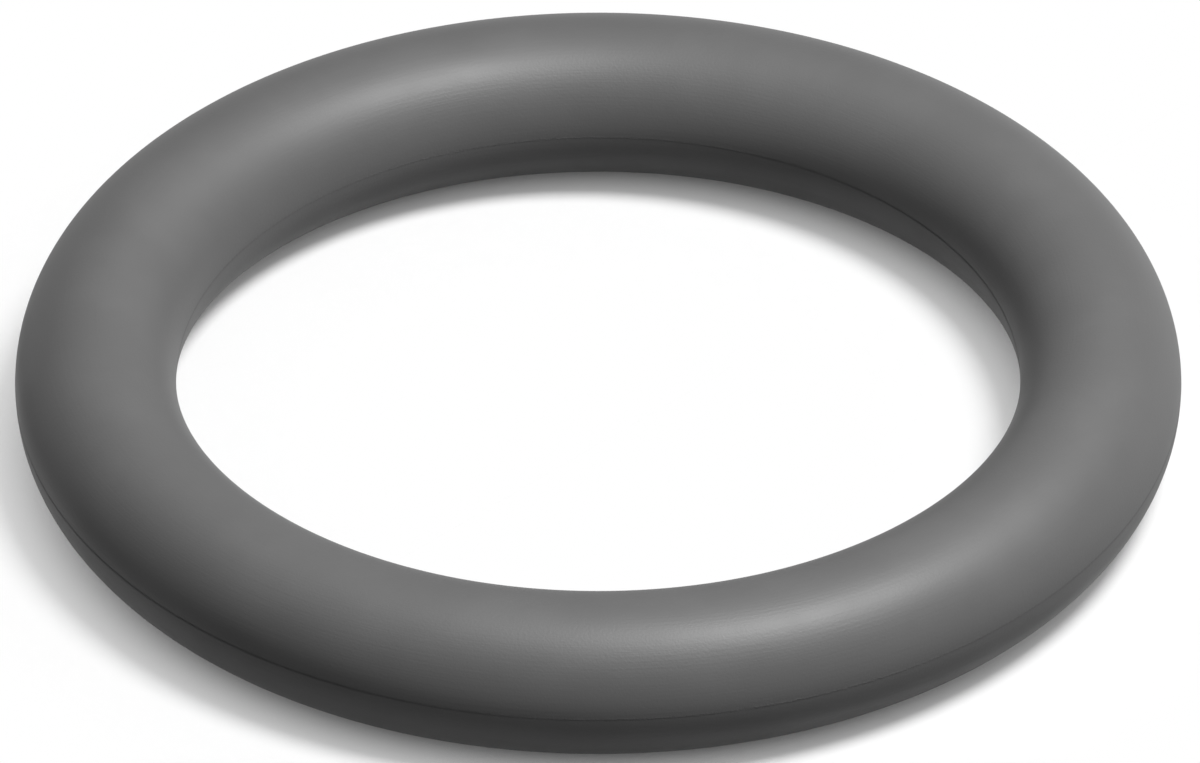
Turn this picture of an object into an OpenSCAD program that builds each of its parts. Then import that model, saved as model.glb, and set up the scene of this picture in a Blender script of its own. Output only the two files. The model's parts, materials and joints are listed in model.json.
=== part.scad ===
// Rubber O-ring: a sealing ring of round section, moulded in one piece.
// It lies flat. The origin is the ring's centre, halfway up its section, and +Z is the ring's axis.

/* [Ring] */
// Inside diameter of the relaxed ring
inside_d = 27.94; // [8:0.01:80]

/* [Section] */
// Diameter of the round section, which is also the ring's height
section_d = 5.33; // [1.5:0.01:8]

/* [Hidden] */

// Distance from the ring's axis to the middle of the section
section_offset = (inside_d + section_d) / 2;

// How finely a plain mesh shows the two round directions
section_steps = 96;
ring_steps = 240;

// Black rubber as it looks under studio light
rubber_color = [0.37, 0.37, 0.37];

// The section, standing on the ring's middle plane at its distance from the axis
module round_section() {
    translate([section_offset, 0])
        circle(d = section_d, $fn = section_steps);
}

// The whole ring, which is the section carried once round the axis
module o_ring() {
    color(rubber_color)
        rotate_extrude($fn = ring_steps)
            round_section();
}

o_ring();
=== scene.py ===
"""A rubber O-ring as it comes out of its mould, lying flat in a plain pale studio."""

import json
import math

import bpy
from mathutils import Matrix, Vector


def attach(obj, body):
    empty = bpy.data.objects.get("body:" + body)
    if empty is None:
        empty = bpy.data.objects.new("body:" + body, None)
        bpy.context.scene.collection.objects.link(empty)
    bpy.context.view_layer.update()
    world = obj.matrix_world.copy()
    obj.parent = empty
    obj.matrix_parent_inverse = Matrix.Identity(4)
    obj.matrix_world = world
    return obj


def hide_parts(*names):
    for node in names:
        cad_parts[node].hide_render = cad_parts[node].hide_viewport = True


bl_info = {
    "name": "Rubber O-ring",
    "version": (1, 0, 0),
    "blender": (4, 5, 0),
    "location": "3D View > Sidebar > O-ring",
    "description": "Models a moulded rubber sealing ring and the plain studio that it is shown in",
    "category": "Add Mesh",
}

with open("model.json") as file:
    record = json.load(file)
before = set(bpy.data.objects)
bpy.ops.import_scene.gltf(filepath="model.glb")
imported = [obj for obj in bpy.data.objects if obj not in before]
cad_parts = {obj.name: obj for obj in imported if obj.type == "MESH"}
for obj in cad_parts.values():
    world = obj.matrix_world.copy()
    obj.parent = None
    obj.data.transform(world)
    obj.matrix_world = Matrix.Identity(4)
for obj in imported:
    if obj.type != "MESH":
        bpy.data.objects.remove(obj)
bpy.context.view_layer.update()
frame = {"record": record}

MM = 0.001
# Points of the ring that lie closer than this are in the same place
SAME_PLACE = 0.001 * MM

# The mounts give the ring's two radii, and the section fills what lies between them
MOUNTS = {mount["name"]: mount for mount in frame["record"]["mounts"]}
INSIDE_RADIUS = MOUNTS["inside_diameter"]["dims"]["r_mm"] * MM
OUTSIDE_RADIUS = MOUNTS["outside_diameter"]["dims"]["r_mm"] * MM


class RingSizes(bpy.types.PropertyGroup):
    """Sizes of the ring and of the line that its mould leaves"""

    inside_diameter: bpy.props.FloatProperty(
        name="Inside Diameter",
        description="Narrowest distance across the open middle",
        default=2 * INSIDE_RADIUS,
        min=8 * MM,
        unit="LENGTH",
        subtype="DISTANCE",
    )
    section_diameter: bpy.props.FloatProperty(
        name="Section Diameter",
        description="Thickness of the rubber, which is also the ring's height",
        default=OUTSIDE_RADIUS - INSIDE_RADIUS,
        min=1.5 * MM,
        unit="LENGTH",
        subtype="DISTANCE",
    )
    parting_line_width: bpy.props.FloatProperty(
        name="Parting Line Width",
        description="Width of the trimmed line where the two halves of the mould met",
        default=0.09 * MM,
        unit="LENGTH",
        subtype="DISTANCE",
    )
    parting_line_height: bpy.props.FloatProperty(
        name="Parting Line Height",
        description="How far the trimmed line stands out of the round section",
        default=0.004 * MM,
        unit="LENGTH",
        subtype="DISTANCE",
    )
    trim_unevenness: bpy.props.FloatProperty(
        name="Trim Unevenness",
        description="How far the trimmed line's height wanders on its way round the ring",
        default=0.004 * MM,
        unit="LENGTH",
        subtype="DISTANCE",
    )
    trim_wave: bpy.props.FloatProperty(
        name="Trim Wave",
        description="How far apart along the ring the trimmed line rises and sinks",
        default=1.6 * MM,
        unit="LENGTH",
        subtype="DISTANCE",
    )
    ring_steps: bpy.props.IntProperty(
        name="Steps Round the Ring",
        description="Number of sections that the spin makes",
        default=360,
        min=24,
    )
    section_steps: bpy.props.IntProperty(
        name="Steps Round the Section",
        description="Number of points in the round section, a multiple of four",
        default=112,
        min=16,
    )


class RubberFinish(bpy.types.PropertyGroup):
    """Colour, gloss and fine relief of the moulded rubber"""

    rubber_color: bpy.props.FloatVectorProperty(
        name="Rubber Color",
        description="Colour of the moulded skin",
        default=(0.11, 0.11, 0.11),
        size=3,
        min=0.0,
        max=1.0,
        subtype="COLOR",
    )
    bloom_color: bpy.props.FloatVectorProperty(
        name="Bloom Color",
        description="Colour of the thin waxy bloom that rubber sweats out",
        default=(0.132, 0.132, 0.132),
        size=3,
        min=0.0,
        max=1.0,
        subtype="COLOR",
    )
    roughness: bpy.props.FloatProperty(
        name="Roughness",
        description="Roughness of the moulded skin",
        default=0.52,
        min=0.0,
        max=1.0,
        subtype="FACTOR",
    )
    trimmed_roughness: bpy.props.FloatProperty(
        name="Trimmed Roughness",
        description="Roughness where the flash was trimmed off",
        default=0.66,
        min=0.0,
        max=1.0,
        subtype="FACTOR",
    )
    specular_level: bpy.props.FloatProperty(
        name="Specular Level",
        description="How much light the rubber mirrors, where 0.5 is what its refraction gives",
        default=0.4,
        min=0.0,
        max=1.0,
        subtype="FACTOR",
    )
    bloom_patch: bpy.props.FloatProperty(
        name="Bloom Patch",
        description="Width of the patches in which the bloom lies thicker",
        default=4.0 * MM,
        unit="LENGTH",
        subtype="DISTANCE",
    )
    bloom_share: bpy.props.FloatProperty(
        name="Bloom Share",
        description="How far the thickest bloom hides the moulded skin",
        default=0.3,
        min=0.0,
        max=1.0,
        subtype="FACTOR",
    )
    trimmed_bloom_share: bpy.props.FloatProperty(
        name="Trimmed Bloom Share",
        description="How far the thickest bloom hides the trimmed rubber",
        default=0.6,
        min=0.0,
        max=1.0,
        subtype="FACTOR",
    )
    bloom_dulling: bpy.props.FloatProperty(
        name="Bloom Dulling",
        description="How much rougher the rubber is under the thickest bloom than where there is none",
        default=0.04,
        min=0.0,
        max=0.5,
    )
    grain_size: bpy.props.FloatProperty(
        name="Grain Size",
        description="Width of the grain that the mould's surface leaves",
        default=0.09 * MM,
        unit="LENGTH",
        subtype="DISTANCE",
    )
    grain_depth: bpy.props.FloatProperty(
        name="Grain Depth",
        description="Depth of the grain on the moulded skin",
        default=0.004 * MM,
        unit="LENGTH",
        subtype="DISTANCE",
    )
    trimmed_grain_depth: bpy.props.FloatProperty(
        name="Trimmed Grain Depth",
        description="Depth of the grain that the trimming cut leaves",
        default=0.012 * MM,
        unit="LENGTH",
        subtype="DISTANCE",
    )
    trimmed_grain_stretch: bpy.props.FloatProperty(
        name="Trimmed Grain Stretch",
        description="How many times longer than high the trimming cut draws its grain",
        default=2.0,
        min=1.0,
    )
    mark_spacing: bpy.props.FloatProperty(
        name="Turning Mark Spacing",
        description="Distance between the fine marks that the turned mould leaves round the ring",
        default=0.07 * MM,
        unit="LENGTH",
        subtype="DISTANCE",
    )
    mark_depth: bpy.props.FloatProperty(
        name="Turning Mark Depth",
        description="Depth of the fine marks that the turned mould leaves",
        default=0.003 * MM,
        unit="LENGTH",
        subtype="DISTANCE",
    )


class StudioSettings(bpy.types.PropertyGroup):
    """Floor, lamp and camera"""

    floor_size: bpy.props.FloatProperty(
        name="Floor Size",
        description="Length of each side of the floor, long enough to reach the horizon in any view",
        default=6.0,
        unit="LENGTH",
        subtype="DISTANCE",
    )
    floor_color: bpy.props.FloatVectorProperty(
        name="Floor Color",
        description="Colour of the floor close to the ring, where its own glow fades",
        default=(0.65, 0.65, 0.65),
        size=3,
        min=0.0,
        max=1.0,
        subtype="COLOR",
    )
    floor_bounce: bpy.props.FloatVectorProperty(
        name="Floor Bounce",
        description="Colour of the floor for light on its way, dark enough to send hardly any back up",
        default=(0.01, 0.01, 0.01),
        size=3,
        min=0.0,
        max=1.0,
        subtype="COLOR",
    )
    shadow_reach: bpy.props.FloatProperty(
        name="Shadow Reach",
        description="How far from the ring the floor's glow fades into the contact shadow",
        default=5.0 * MM,
        unit="LENGTH",
        subtype="DISTANCE",
    )
    key_level: bpy.props.FloatProperty(
        name="Key Level",
        description="Light on a face turned to the key lamp, where 1 shows a colour as it is written",
        default=1.7,
        min=0.0,
    )
    key_azimuth: bpy.props.FloatProperty(
        name="Key Azimuth",
        description="Side that the key lamp stands on, where 0 is the photo's right",
        default=math.radians(-20),
        subtype="ANGLE",
    )
    key_elevation: bpy.props.FloatProperty(
        name="Key Elevation",
        description="How high the key lamp stands over the floor",
        default=math.radians(69),
        subtype="ANGLE",
    )
    key_distance: bpy.props.FloatProperty(
        name="Key Distance",
        description="Distance from the ring's centre to the key lamp",
        default=0.4,
        unit="LENGTH",
        subtype="DISTANCE",
    )
    key_diameter: bpy.props.FloatProperty(
        name="Key Diameter",
        description="Width of the round key lamp, which softens the shadow's edge",
        default=0.14,
        unit="LENGTH",
        subtype="DISTANCE",
    )
    surround_level: bpy.props.FloatProperty(
        name="Surround Level",
        description="Faint light that the dark room round the lamp gives",
        default=0.005,
        min=0.0,
    )
    sweep_full: bpy.props.FloatProperty(
        name="Sweep Full",
        description="Height over the horizon up to which the backdrop's sweep is white",
        default=math.asin(0.03),
        subtype="ANGLE",
    )
    sweep_end: bpy.props.FloatProperty(
        name="Sweep End",
        description="Height over the horizon at which the sweep has faded into the dark room",
        default=math.asin(0.15),
        subtype="ANGLE",
    )
    camera_elevation: bpy.props.FloatProperty(
        name="Camera Elevation",
        description="How steeply the camera looks down, which is the isometric angle",
        default=math.atan(math.sqrt(0.5)),
        subtype="ANGLE",
    )
    camera_lens: bpy.props.FloatProperty(
        name="Camera Lens",
        description="Focal length in millimetres, long enough to draw near and far alike",
        default=1000.0,
        min=50.0,
    )


def add_node(tree, kind, place, **settings):
    """Adds a node at a place in the tree's layout and sets what is given."""
    node = tree.nodes.new(kind)
    node.location = place
    for name, value in settings.items():
        setattr(node, name, value)
    return node


def add_math(tree, operation, place, *values):
    """Adds a Math node. Each value is a number or another node's output. Returns the result's socket."""
    node = add_node(tree, "ShaderNodeMath", place, operation=operation)
    for socket, value in zip(node.inputs, values):
        if isinstance(value, bpy.types.NodeSocket):
            tree.links.new(value, socket)
        else:
            socket.default_value = value
    return node.outputs["Value"]


def new_group(name, inputs, outputs):
    """Makes a shader node group. inputs and outputs are lists of (name, socket type, default value)."""
    group = bpy.data.node_groups.new(name, "ShaderNodeTree")
    for in_out, sockets in (("INPUT", inputs), ("OUTPUT", outputs)):
        for socket_name, socket_type, default in sockets:
            socket = group.interface.new_socket(socket_name, in_out=in_out, socket_type=socket_type)
            if default is not None:
                socket.default_value = default
    source = add_node(group, "NodeGroupInput", (-900, 0))
    result = add_node(group, "NodeGroupOutput", (700, 0))
    return group, source, result


def ring_position_group(section_offset):
    """Where a point lies: which way round the ring, as a direction, and how far round the section."""
    group, source, result = new_group(
        "ring position",
        [("Section Radius", "NodeSocketFloat", 2 * MM)],
        [("Round the Ring", "NodeSocketVector", None), ("Round the Section", "NodeSocketFloat", None)],
    )
    coordinates = add_node(group, "ShaderNodeTexCoord", (-900, 250))
    split = add_node(group, "ShaderNodeSeparateXYZ", (-720, 250))
    flat = add_node(group, "ShaderNodeCombineXYZ", (-540, 300))
    direction = add_node(group, "ShaderNodeVectorMath", (-360, 350), operation="NORMALIZE")
    length = add_node(group, "ShaderNodeVectorMath", (-360, 150), operation="LENGTH")
    links = group.links
    links.new(coordinates.outputs["Object"], split.inputs["Vector"])
    links.new(split.outputs["X"], flat.inputs["X"])
    links.new(split.outputs["Y"], flat.inputs["Y"])
    links.new(flat.outputs["Vector"], direction.inputs[0])
    links.new(flat.outputs["Vector"], length.inputs[0])
    outward = add_math(group, "SUBTRACT", (-180, 150), length.outputs["Value"], section_offset)
    angle = add_math(group, "ARCTAN2", (0, 100), split.outputs["Z"], outward)
    arc = add_math(group, "MULTIPLY", (180, 50), angle, source.outputs["Section Radius"])
    links.new(direction.outputs["Vector"], result.inputs["Round the Ring"])
    links.new(arc, result.inputs["Round the Section"])
    return group


def turning_marks_group():
    """Fine marks that run round the ring, as a turned mould leaves them."""
    group, source, result = new_group(
        "turning marks",
        [
            ("Round the Ring", "NodeSocketVector", None),
            ("Round the Section", "NodeSocketFloat", None),
            ("Spacing", "NodeSocketFloat", 0.1 * MM),
            ("Breaks", "NodeSocketFloat", 3.0),
        ],
        [("Height", "NodeSocketFloat", None)],
    )
    links = group.links
    arc, spacing = source.outputs["Round the Section"], source.outputs["Spacing"]
    across = add_math(group, "DIVIDE", (-540, -100), arc, spacing)
    rise = add_node(group, "ShaderNodeCombineXYZ", (-360, -100))
    links.new(across, rise.inputs["Z"])
    along = add_node(group, "ShaderNodeVectorMath", (-360, 150), operation="SCALE")
    links.new(source.outputs["Round the Ring"], along.inputs[0])
    links.new(source.outputs["Breaks"], along.inputs["Scale"])
    place = add_node(group, "ShaderNodeVectorMath", (-180, 50), operation="ADD")
    links.new(along.outputs["Vector"], place.inputs[0])
    links.new(rise.outputs["Vector"], place.inputs[1])
    noise = add_node(group, "ShaderNodeTexNoise", (0, 50))
    noise.inputs["Scale"].default_value = 1.0
    noise.inputs["Detail"].default_value = 1.0
    noise.inputs["Roughness"].default_value = 0.5
    links.new(place.outputs["Vector"], noise.inputs["Vector"])
    links.new(noise.outputs["Fac"], result.inputs["Height"])
    return group


def moulded_grain_group():
    """Fine grain, as blasted steel leaves in rubber: soft bumps with a few finer ones on them."""
    group, source, result = new_group(
        "moulded grain",
        [("Size", "NodeSocketFloat", 0.1 * MM), ("Stretch", "NodeSocketFloat", 1.0)],
        [("Height", "NodeSocketFloat", None)],
    )
    links = group.links
    coordinates = add_node(group, "ShaderNodeTexCoord", (-900, 250))
    stretch = add_node(group, "ShaderNodeCombineXYZ", (-720, 0))
    stretch.inputs["X"].default_value = 1.0
    stretch.inputs["Y"].default_value = 1.0
    links.new(source.outputs["Stretch"], stretch.inputs["Z"])
    shaped = add_node(group, "ShaderNodeVectorMath", (-540, 150), operation="MULTIPLY")
    links.new(coordinates.outputs["Object"], shaped.inputs[0])
    links.new(stretch.outputs["Vector"], shaped.inputs[1])
    scale = add_math(group, "DIVIDE", (-540, -150), 1.0, source.outputs["Size"])
    noise = add_node(group, "ShaderNodeTexNoise", (-180, 100))
    noise.inputs["Detail"].default_value = 1.0
    noise.inputs["Roughness"].default_value = 0.6
    links.new(shaped.outputs["Vector"], noise.inputs["Vector"])
    links.new(scale, noise.inputs["Scale"])
    links.new(noise.outputs["Fac"], result.inputs["Height"])
    return group


def bloom_group():
    """Soft patches a few millimetres wide where the bloom is thicker, from 0 to 1."""
    group, source, result = new_group(
        "bloom",
        [("Patch Size", "NodeSocketFloat", 4 * MM)],
        [("Thickness", "NodeSocketFloat", None)],
    )
    links = group.links
    coordinates = add_node(group, "ShaderNodeTexCoord", (-720, 200))
    scale = add_math(group, "DIVIDE", (-540, -100), 1.0, source.outputs["Patch Size"])
    noise = add_node(group, "ShaderNodeTexNoise", (-360, 100))
    noise.inputs["Detail"].default_value = 3.0
    noise.inputs["Roughness"].default_value = 0.6
    links.new(coordinates.outputs["Object"], noise.inputs["Vector"])
    links.new(scale, noise.inputs["Scale"])
    patches = add_node(group, "ShaderNodeMapRange", (-120, 100), interpolation_type="SMOOTHSTEP")
    patches.inputs["From Min"].default_value = 0.35
    patches.inputs["From Max"].default_value = 0.7
    links.new(noise.outputs["Fac"], patches.inputs["Value"])
    links.new(patches.outputs["Result"], result.inputs["Thickness"])
    return group


def place_group(tree, group, place, **values):
    """Places a node group in a tree and sets its inputs by name, with spaces for the underscores."""
    node = add_node(tree, "ShaderNodeGroup", place)
    node.node_tree = group
    for name, value in values.items():
        node.inputs[name.replace("_", " ")].default_value = value
    return node


def rubber_material(name, finish, sizes, groups, roughness, bloom, grain_depth, stretch):
    """Black rubber. bloom is how far the thickest bloom hides it, and stretch how far its grain is drawn."""
    material = bpy.data.materials.new(name)
    material.use_nodes = True
    tree = material.node_tree
    links = tree.links
    shader = tree.nodes["Principled BSDF"]
    shader.location = (300, 0)
    tree.nodes["Material Output"].location = (600, 0)
    shader.inputs["IOR"].default_value = 1.5
    shader.inputs["Specular IOR Level"].default_value = finish.specular_level

    film = place_group(tree, groups["bloom"], (-900, 300), Patch_Size=finish.bloom_patch)
    share = add_math(tree, "MULTIPLY", (-600, 300), film.outputs["Thickness"], bloom)
    color = add_node(tree, "ShaderNodeMix", (-300, 300), data_type="RGBA")
    color.inputs["A"].default_value = (*finish.rubber_color, 1.0)
    color.inputs["B"].default_value = (*finish.bloom_color, 1.0)
    links.new(share, color.inputs["Factor"])
    links.new(color.outputs["Result"], shader.inputs["Base Color"])
    # A middling bloom leaves the roughness as it is set
    thickness, dulling = film.outputs["Thickness"], finish.bloom_dulling
    dulled = add_math(tree, "MULTIPLY_ADD", (-300, 80), thickness, dulling, roughness - dulling / 2)
    links.new(dulled, shader.inputs["Roughness"])

    where = place_group(
        tree, groups["ring position"], (-1200, -250), Section_Radius=sizes.section_diameter / 2
    )
    marks = place_group(tree, groups["turning marks"], (-900, -200), Spacing=finish.mark_spacing)
    for socket in ("Round the Ring", "Round the Section"):
        links.new(where.outputs[socket], marks.inputs[socket])
    grain = place_group(
        tree, groups["moulded grain"], (-900, -500), Size=finish.grain_size, Stretch=stretch
    )
    mark_bump = add_node(tree, "ShaderNodeBump", (-600, -200))
    mark_bump.inputs["Distance"].default_value = finish.mark_depth
    links.new(marks.outputs["Height"], mark_bump.inputs["Height"])
    grain_bump = add_node(tree, "ShaderNodeBump", (-300, -300))
    grain_bump.inputs["Distance"].default_value = grain_depth
    links.new(grain.outputs["Height"], grain_bump.inputs["Height"])
    links.new(mark_bump.outputs["Normal"], grain_bump.inputs["Normal"])
    links.new(grain_bump.outputs["Normal"], shader.inputs["Normal"])
    return material


def deselect_everything():
    """Clears the selection, so that an operator acts only on what is picked next."""
    bpy.ops.object.select_all(action="DESELECT")
    bpy.context.view_layer.objects.active = None


def select_vertices(piece, test):
    """Goes into edit mode with just the vertices selected whose places pass the test."""
    bpy.ops.object.mode_set(mode="EDIT")
    bpy.ops.mesh.select_mode(type="VERT")
    bpy.ops.mesh.select_all(action="DESELECT")
    bpy.ops.object.mode_set(mode="OBJECT")
    for vertex in piece.data.vertices:
        vertex.select = test(vertex.co)
    bpy.ops.object.mode_set(mode="EDIT")


def spin_section(sizes, section_offset):
    """Draws the round section beside the axis and spins it once round."""
    deselect_everything()
    bpy.ops.mesh.primitive_circle_add(
        vertices=sizes.section_steps,
        radius=sizes.section_diameter / 2,
        location=(section_offset, 0, 0),
        rotation=(math.pi / 2, 0, 0),
    )
    piece = bpy.context.object
    piece.name = "rubber_ring"
    bpy.ops.object.transform_apply(location=True, rotation=True, scale=True)
    bpy.ops.object.mode_set(mode="EDIT")
    bpy.ops.mesh.select_all(action="SELECT")
    bpy.ops.mesh.spin(steps=sizes.ring_steps, angle=math.tau, center=(0, 0, 0), axis=(0, 0, 1))
    bpy.ops.mesh.select_all(action="SELECT")
    bpy.ops.mesh.remove_doubles(threshold=SAME_PLACE)
    bpy.ops.mesh.normals_make_consistent(inside=False)
    bpy.ops.object.mode_set(mode="OBJECT")
    return piece


# The band that holds the parting line is wider than the line by this factor. Its outermost strips lie flush
# beside the line, so that the shading of the round section doesn't bend there.
BAND_WIDENING = 1.5
BAND_STRIPS = 6
# The line's flanks and crest rise in turn. Each pair is how far from the line's middle its rows may lie, in
# half-widths of the line, and the share of the line's height by which they rise.
FLANK_REACH = 0.8
LINE_LIFTS = ((FLANK_REACH, 0.55), (0.1, 0.45))


def raise_parting_line(piece, sizes):
    """Bevels the widest and the narrowest circle into a band, and raises the middle of each band."""
    half_width = sizes.parting_line_width / 2
    select_vertices(piece, lambda place: abs(place.z) < SAME_PLACE)
    bpy.ops.mesh.select_mode(type="EDGE")
    offset = BAND_WIDENING * half_width
    bpy.ops.mesh.bevel(offset=offset, segments=BAND_STRIPS, profile=0.5, affect="EDGES")
    bpy.ops.object.mode_set(mode="OBJECT")
    for reach, share in LINE_LIFTS:
        select_vertices(piece, lambda place: abs(place.z) < reach * half_width)
        bpy.ops.transform.shrink_fatten(value=share * sizes.parting_line_height)
        bpy.ops.object.mode_set(mode="OBJECT")


def wear_parting_line(piece, sizes):
    """Lets the trimmed line's height wander a little on its way round, as a trimming cut leaves it."""
    half_width = sizes.parting_line_width / 2
    middle = piece.vertex_groups.new(name="parting line")
    reach = FLANK_REACH * half_width
    rows = [vertex.index for vertex in piece.data.vertices if abs(vertex.co.z) < reach]
    middle.add(rows, 1.0, "REPLACE")
    cut = bpy.data.textures.new("trimming cut", "CLOUDS")
    cut.noise_scale = sizes.trim_wave
    wander = piece.modifiers.new("wander", "DISPLACE")
    wander.texture = cut
    wander.texture_coords = "LOCAL"
    wander.vertex_group = middle.name
    wander.strength = sizes.trim_unevenness
    wander.mid_level = 0.5
    bpy.context.view_layer.objects.active = piece
    bpy.ops.object.modifier_apply(modifier=wander.name)


class ORING_OT_mould_ring(bpy.types.Operator):
    """Model the ring: a round section spun about the axis, with the mould's parting line"""

    bl_idname = "oring.mould_ring"
    bl_label = "Mould Ring"
    bl_options = {"REGISTER", "UNDO"}

    def execute(self, context):
        sizes = context.scene.oring_sizes
        finish = context.scene.oring_finish
        if sizes.section_steps % 4:
            raise ValueError("The section's points must be a multiple of four, or none lies at its widest")
        section_offset = (sizes.inside_diameter + sizes.section_diameter) / 2
        ring = spin_section(sizes, section_offset)
        raise_parting_line(ring, sizes)
        wear_parting_line(ring, sizes)
        bpy.ops.object.shade_smooth()

        groups = {
            group.name: group
            for group in (
                ring_position_group(section_offset),
                turning_marks_group(),
                moulded_grain_group(),
                bloom_group(),
            )
        }
        skin = rubber_material(
            "moulded rubber", finish, sizes, groups,
            roughness=finish.roughness, bloom=finish.bloom_share,
            grain_depth=finish.grain_depth, stretch=1.0,
        )
        trimmed = rubber_material(
            "trimmed rubber", finish, sizes, groups,
            roughness=finish.trimmed_roughness, bloom=finish.trimmed_bloom_share,
            grain_depth=finish.trimmed_grain_depth, stretch=finish.trimmed_grain_stretch,
        )
        ring.data.materials.append(skin)
        ring.data.materials.append(trimmed)
        trimmed_slot = ring.data.materials.find(trimmed.name)
        half_width = sizes.parting_line_width / 2
        for face in ring.data.polygons:
            if abs(face.center.z) < half_width:
                face.material_index = trimmed_slot
        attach(ring, "root")
        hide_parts("o_ring")
        return {"FINISHED"}


def seen_by_eye(tree, place):
    """1 for what the camera sees, also mirrored or through glass, and 0 for light on its way."""
    x, y = place
    path = add_node(tree, "ShaderNodeLightPath", (x, y))
    direct = add_math(
        tree, "MAXIMUM", (x + 200, y), path.outputs["Is Camera Ray"], path.outputs["Is Glossy Ray"]
    )
    return add_math(tree, "MAXIMUM", (x + 400, y), direct, path.outputs["Is Transmission Ray"])


def floor_material(studio):
    """A pale floor that glows for the eye, with a painted contact shadow where the glow fades near the ring,
    over the lamp's own soft shadow, and that sends hardly any light back up.
    """
    material = bpy.data.materials.new("pale floor")
    material.use_nodes = True
    tree = material.node_tree
    tree.nodes.remove(tree.nodes["Principled BSDF"])
    output = tree.nodes["Material Output"]
    output.location = (600, 0)
    eye = seen_by_eye(tree, (-700, 200))
    shade = add_node(tree, "ShaderNodeMix", (0, 100), data_type="RGBA")
    shade.inputs["A"].default_value = (*studio.floor_bounce, 1.0)
    shade.inputs["B"].default_value = (*studio.floor_color, 1.0)
    matte = add_node(tree, "ShaderNodeBsdfDiffuse", (200, 100))
    glow = add_node(tree, "ShaderNodeEmission", (200, -100))
    # Painted contact shadow: ambient occlusion fades the floor's glow close to the ring, so the floor
    # darkens under and beside it on top of the shadow that the key lamp casts
    open_floor = add_node(tree, "ShaderNodeAmbientOcclusion", (-400, -150), samples=2)
    open_floor.inputs["Distance"].default_value = studio.shadow_reach
    share = add_math(tree, "MULTIPLY", (0, -150), eye, open_floor.outputs["AO"])
    mixed = add_node(tree, "ShaderNodeMixShader", (400, 0))
    tree.links.new(eye, shade.inputs["Factor"])
    tree.links.new(shade.outputs["Result"], matte.inputs["Color"])
    tree.links.new(share, mixed.inputs["Fac"])
    tree.links.new(matte.outputs["BSDF"], mixed.inputs[1])
    tree.links.new(glow.outputs["Emission"], mixed.inputs[2])
    tree.links.new(mixed.outputs["Shader"], output.inputs["Surface"])
    return material


def set_world(studio):
    """A dark room round the lamp, whose white sweep reaches a little over the horizon, for the eye only."""
    world = bpy.data.worlds.new("studio")
    bpy.context.scene.world = world
    world.use_nodes = True
    tree = world.node_tree
    background = tree.nodes["Background"]
    eye = seen_by_eye(tree, (-1000, 0))
    direction = add_node(tree, "ShaderNodeTexCoord", (-1000, 300))
    rise = add_node(tree, "ShaderNodeSeparateXYZ", (-800, 300))
    sweep = add_node(tree, "ShaderNodeMapRange", (-600, 300), interpolation_type="SMOOTHSTEP")
    sweep.inputs["From Min"].default_value = math.sin(studio.sweep_full)
    sweep.inputs["From Max"].default_value = math.sin(studio.sweep_end)
    sweep.inputs["To Min"].default_value = 1.0
    sweep.inputs["To Max"].default_value = 0.0
    tree.links.new(direction.outputs["Generated"], rise.inputs["Vector"])
    tree.links.new(rise.outputs["Z"], sweep.inputs["Value"])
    seen_sweep = add_math(tree, "MULTIPLY", (-400, 150), eye, sweep.outputs["Result"])
    strength = add_math(tree, "MAXIMUM", (-200, 0), seen_sweep, studio.surround_level)
    tree.links.new(strength, background.inputs["Strength"])
    background.inputs["Color"].default_value = (1.0, 1.0, 1.0, 1.0)


def add_key_lamp(studio):
    """Adds a round soft lamp that gives a face turned to it the key level."""
    azimuth, elevation = studio.key_azimuth, studio.key_elevation
    toward = Vector(
        (
            math.cos(azimuth) * math.cos(elevation),
            math.sin(azimuth) * math.cos(elevation),
            math.sin(elevation),
        )
    )
    light = bpy.data.lights.new("key lamp", "AREA")
    light.shape = "DISK"
    light.size = studio.key_diameter
    light.energy = studio.key_level * (math.pi * studio.key_distance) ** 2
    lamp = bpy.data.objects.new("key lamp", light)
    bpy.context.scene.collection.objects.link(lamp)
    lamp.location = toward * studio.key_distance
    lamp.rotation_euler = toward.to_track_quat("Z", "Y").to_euler()
    lamp.visible_camera = False


# The photo's frame, and where the ring's centre and the middle of its section lie in it
PHOTO_WIDTH = 1200
PHOTO_HEIGHT = 763
RING_CENTRE_X = 597.7
RING_CENTRE_Y = 381.8
RING_REACH = 502.58


def add_camera(sizes, studio):
    """Aims a long lens at the ring, so that it takes the photo's place in the frame at the photo's size."""
    elevation = studio.camera_elevation
    back = Vector((0, -math.cos(elevation), math.sin(elevation)))
    right = Vector((1, 0, 0))
    up = Vector((0, math.sin(elevation), math.cos(elevation)))
    pixel = (sizes.inside_diameter + sizes.section_diameter) / 2 / RING_REACH
    data = bpy.data.cameras.new("camera")
    data.lens = studio.camera_lens
    camera = bpy.data.objects.new("camera", data)
    bpy.context.scene.collection.objects.link(camera)
    distance = PHOTO_WIDTH * pixel * data.lens / data.sensor_width
    # The near half of the ring is drawn a little larger than the far half, which lowers its middle
    lowering = RING_REACH**2 * pixel * math.sin(elevation) * math.cos(elevation) / distance
    aim = right * ((PHOTO_WIDTH - 1) / 2 - RING_CENTRE_X) * pixel
    aim += up * (RING_CENTRE_Y - (PHOTO_HEIGHT - 1) / 2 - lowering) * pixel
    camera.location = aim + back * distance
    camera.rotation_euler = back.to_track_quat("Z", "Y").to_euler()
    data.clip_start = 0.1
    data.clip_end = 10.0
    bpy.context.scene.camera = camera


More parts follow.
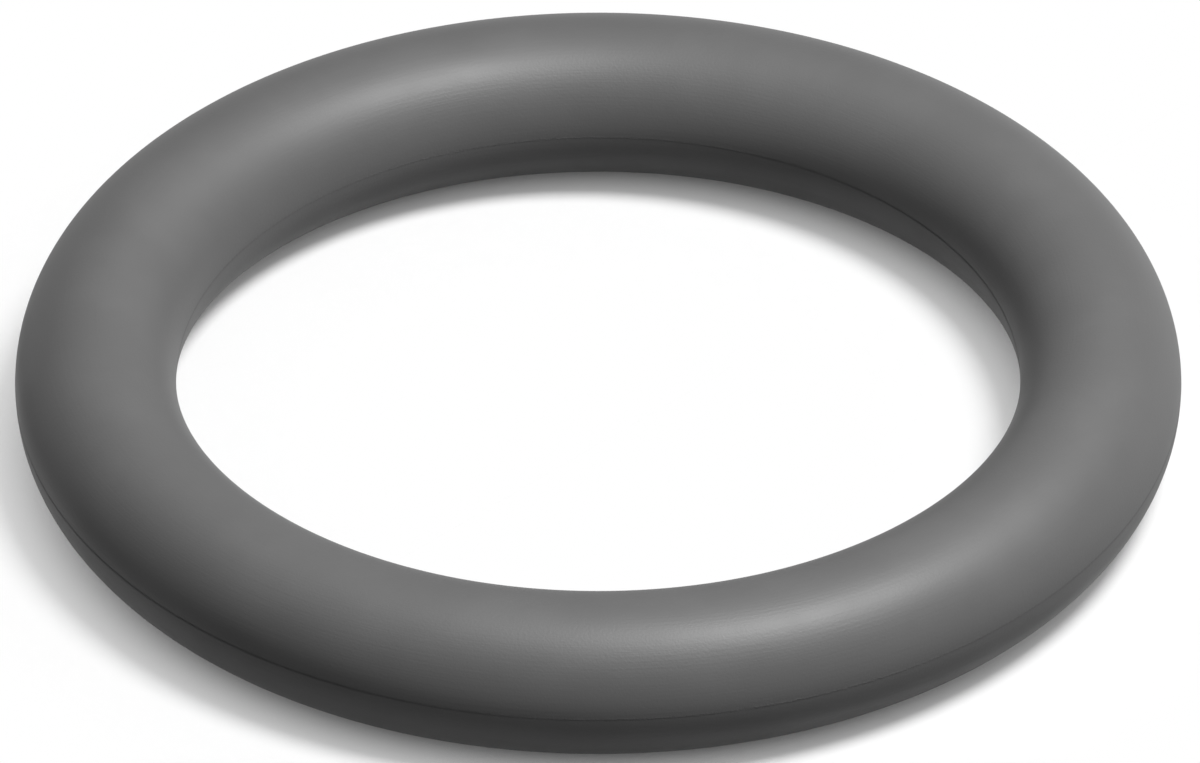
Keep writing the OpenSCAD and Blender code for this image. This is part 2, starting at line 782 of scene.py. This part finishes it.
class ORING_OT_set_stage(bpy.types.Operator):
    """Set the stage: a pale floor, a soft key lamp and a camera at the photo's angle"""

    bl_idname = "oring.set_stage"
    bl_label = "Set Stage"
    bl_options = {"REGISTER", "UNDO"}

    def execute(self, context):
        sizes = context.scene.oring_sizes
        studio = context.scene.oring_studio
        deselect_everything()
        under_ring = (0, 0, -sizes.section_diameter / 2)
        bpy.ops.mesh.primitive_plane_add(size=studio.floor_size, location=under_ring)
        floor = context.object
        floor.name = "floor"
        floor.data.materials.append(floor_material(studio))
        set_world(studio)
        add_key_lamp(studio)
        add_camera(sizes, studio)
        context.scene.view_settings.view_transform = "Standard"
        return {"FINISHED"}


class ORING_PT_sidebar(bpy.types.Panel):
    """Lists the ring's settings and its two steps"""

    bl_idname = "ORING_PT_sidebar"
    bl_label = "O-ring"
    bl_space_type = "VIEW_3D"
    bl_region_type = "UI"
    bl_category = "O-ring"

    def draw(self, context):
        scene = context.scene
        for settings, step in (
            (scene.oring_sizes, None),
            (scene.oring_finish, "oring.mould_ring"),
            (scene.oring_studio, "oring.set_stage"),
        ):
            box = self.layout.box()
            for name in settings.__annotations__:
                box.prop(settings, name)
            if step:
                box.operator(step)


CLASSES = (
    RingSizes,
    RubberFinish,
    StudioSettings,
    ORING_OT_mould_ring,
    ORING_OT_set_stage,
    ORING_PT_sidebar,
)


def register():
    """Registers the classes and hangs the settings on the scene."""
    for each in CLASSES:
        bpy.utils.register_class(each)
    bpy.types.Scene.oring_sizes = bpy.props.PointerProperty(type=RingSizes)
    bpy.types.Scene.oring_finish = bpy.props.PointerProperty(type=RubberFinish)
    bpy.types.Scene.oring_studio = bpy.props.PointerProperty(type=StudioSettings)


def unregister():
    """Takes the settings off the scene and unregisters the classes."""
    del bpy.types.Scene.oring_studio
    del bpy.types.Scene.oring_finish
    del bpy.types.Scene.oring_sizes
    for each in reversed(CLASSES):
        bpy.utils.unregister_class(each)


def main():
    """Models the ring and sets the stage."""
    register()
    bpy.ops.oring.mould_ring()
    bpy.ops.oring.set_stage()


if __name__ == "__main__":
    main()
